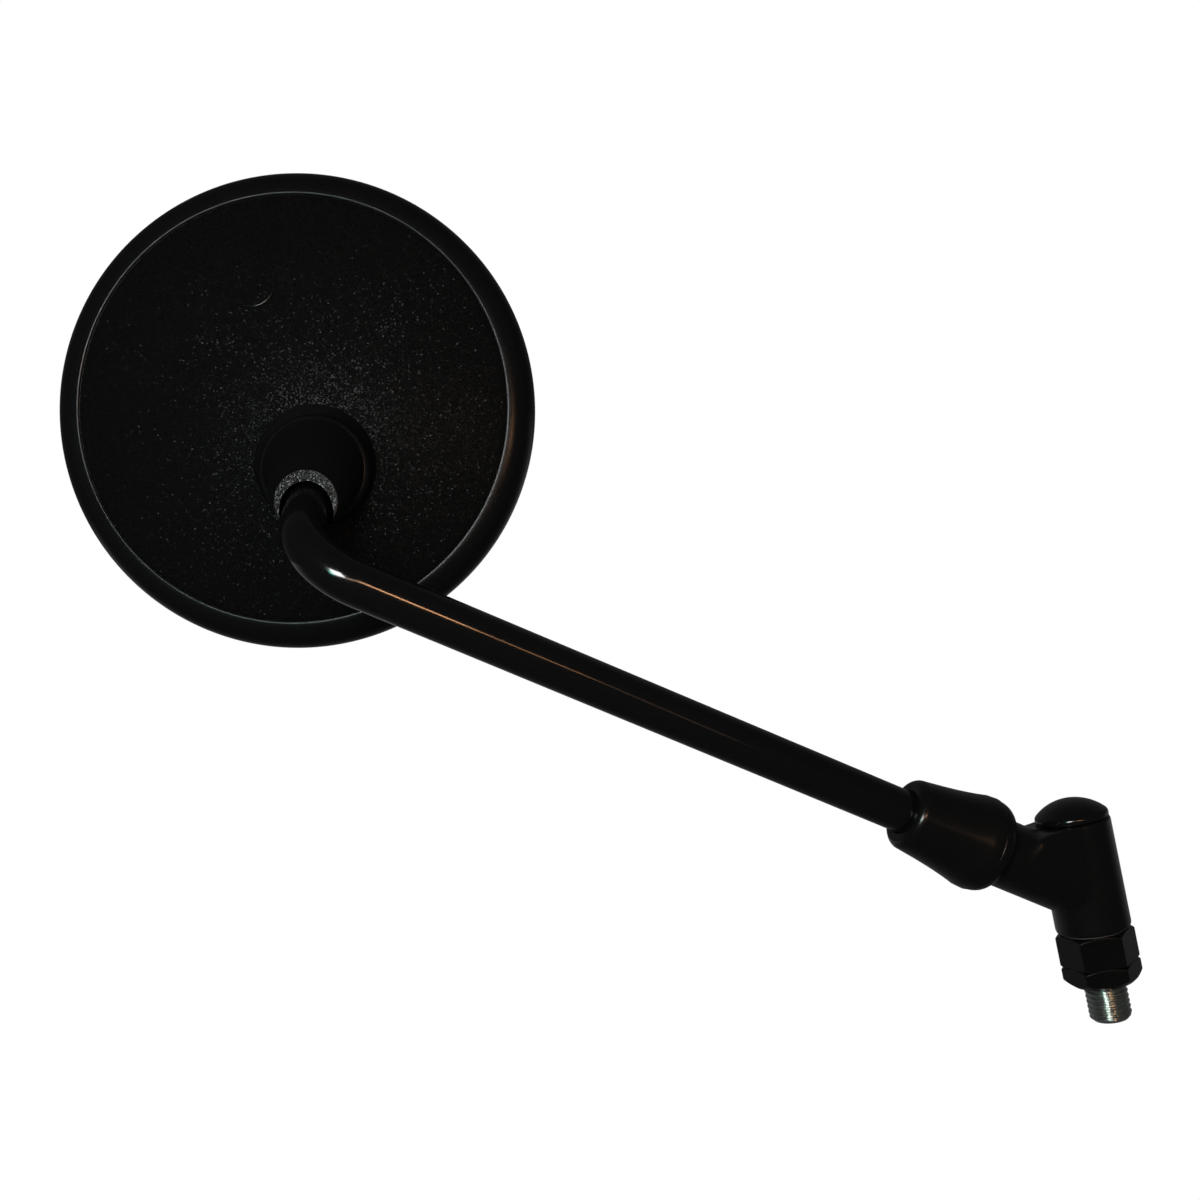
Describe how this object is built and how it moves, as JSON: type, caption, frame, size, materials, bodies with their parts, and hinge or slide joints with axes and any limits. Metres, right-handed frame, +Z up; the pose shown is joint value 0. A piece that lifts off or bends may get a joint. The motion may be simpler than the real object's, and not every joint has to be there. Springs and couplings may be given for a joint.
{
  "type": "motorcycle mirror",
  "caption": "Round motorcycle rear-view mirror on a bent steel stem, with a ball joint in the head, a rubber boot, a swivel knuckle and a threaded stud.",
  "frame": {"origin": "on the stud's axis at the underside of its lock nut, where the mirror seats on the motorcycle", "axes": "+Z up along the stud and the knuckle's barrel; the head's back faces -Y, the glass faces +Y and the head stands off towards -X"},
  "size_m": [0.2281, 0.0567, 0.2369],
  "materials": {
    "housing_plastic": "moulded black, smooth and glossy on the rim and boss, finely grained on the back",
    "mirror_glass": "convex silvered glass",
    "foam": "closed-cell foam",
    "nylon": "natural moulded plastic",
    "spring_steel": "bare spring steel",
    "zinc_steel": "bright zinc plate",
    "stem_paint": "gloss black coat on steel",
    "black_steel": "satin black coat on steel",
    "boot_rubber": "smooth black rubber",
    "knuckle_paint": "satin black coat on a casting",
    "bush_bronze": "sintered bronze",
    "cap_plastic": "glossy black moulding"
  },
  "bodies": {
    "spindle": {"spindle": "zinc_steel", "spindle_hex": "black_steel", "stud_locknut": "black_steel", "friction_washer": "bush_bronze", "disc_spring_1": "spring_steel", "disc_spring_2": "spring_steel", "disc_spring_3": "spring_steel", "disc_spring_4": "spring_steel", "spring_washer_upper": "spring_steel", "spindle_nut": "zinc_steel"},
    "knuckle": {"knuckle_body": "knuckle_paint", "pivot_bush": "bush_bronze", "dome_cap": "cap_plastic", "spring_washer_lower": "spring_steel"},
    "stem": {"mirror_stem": "stem_paint", "stem_locknut": "black_steel"},
    "boot": {"rubber_boot": "boot_rubber"},
    "liner": {"ball_liner": "nylon"},
    "cup": {"ball_cup": "nylon"},
    "head": {"head_housing": "housing_plastic", "mirror_glass": "mirror_glass", "glass_cushion": "foam", "pressure_washer": "spring_steel", "cup_spring": "spring_steel", "retainer_plate": "zinc_steel", "retainer_screw_1": "zinc_steel", "retainer_screw_2": "zinc_steel", "retainer_screw_3": "zinc_steel"}
  },
  "joints": [
    {"name": "knuckle_swivel", "type": "hinge", "parent": "spindle", "child": "knuckle", "pos_m": [0, 0, 0.02], "axis": [0, 0, 1], "continuous": true},
    {"name": "stem_turn", "type": "hinge", "parent": "knuckle", "child": "stem", "pos_m": [0, 0, 0.0226], "axis": [-0.8028, -0.2181, 0.5548], "range_deg": [-45, 45]},
    {"name": "boot_slide", "type": "slide", "parent": "stem", "child": "boot", "axis": [-0.8028, -0.2181, 0.5548], "range_m": [0, 0.03]},
    {"name": "ball_roll", "type": "hinge", "parent": "stem", "child": "liner", "pos_m": [-0.15858, -0.0158, 0.14985], "axis": [0.0366, 0.8532, 0.5204], "range_deg": [-12, 12]},
    {"name": "ball_pan", "type": "hinge", "parent": "liner", "child": "cup", "pos_m": [-0.15858, -0.0158, 0.14985], "axis": [-0.1132, 0, 0.9936], "range_deg": [-3, 3]},
    {"name": "ball_tilt", "type": "hinge", "parent": "cup", "child": "head", "pos_m": [-0.15858, -0.0158, 0.14985], "axis": [0.9936, 0, 0.1132], "range_deg": [-3, 3]}
  ]
}
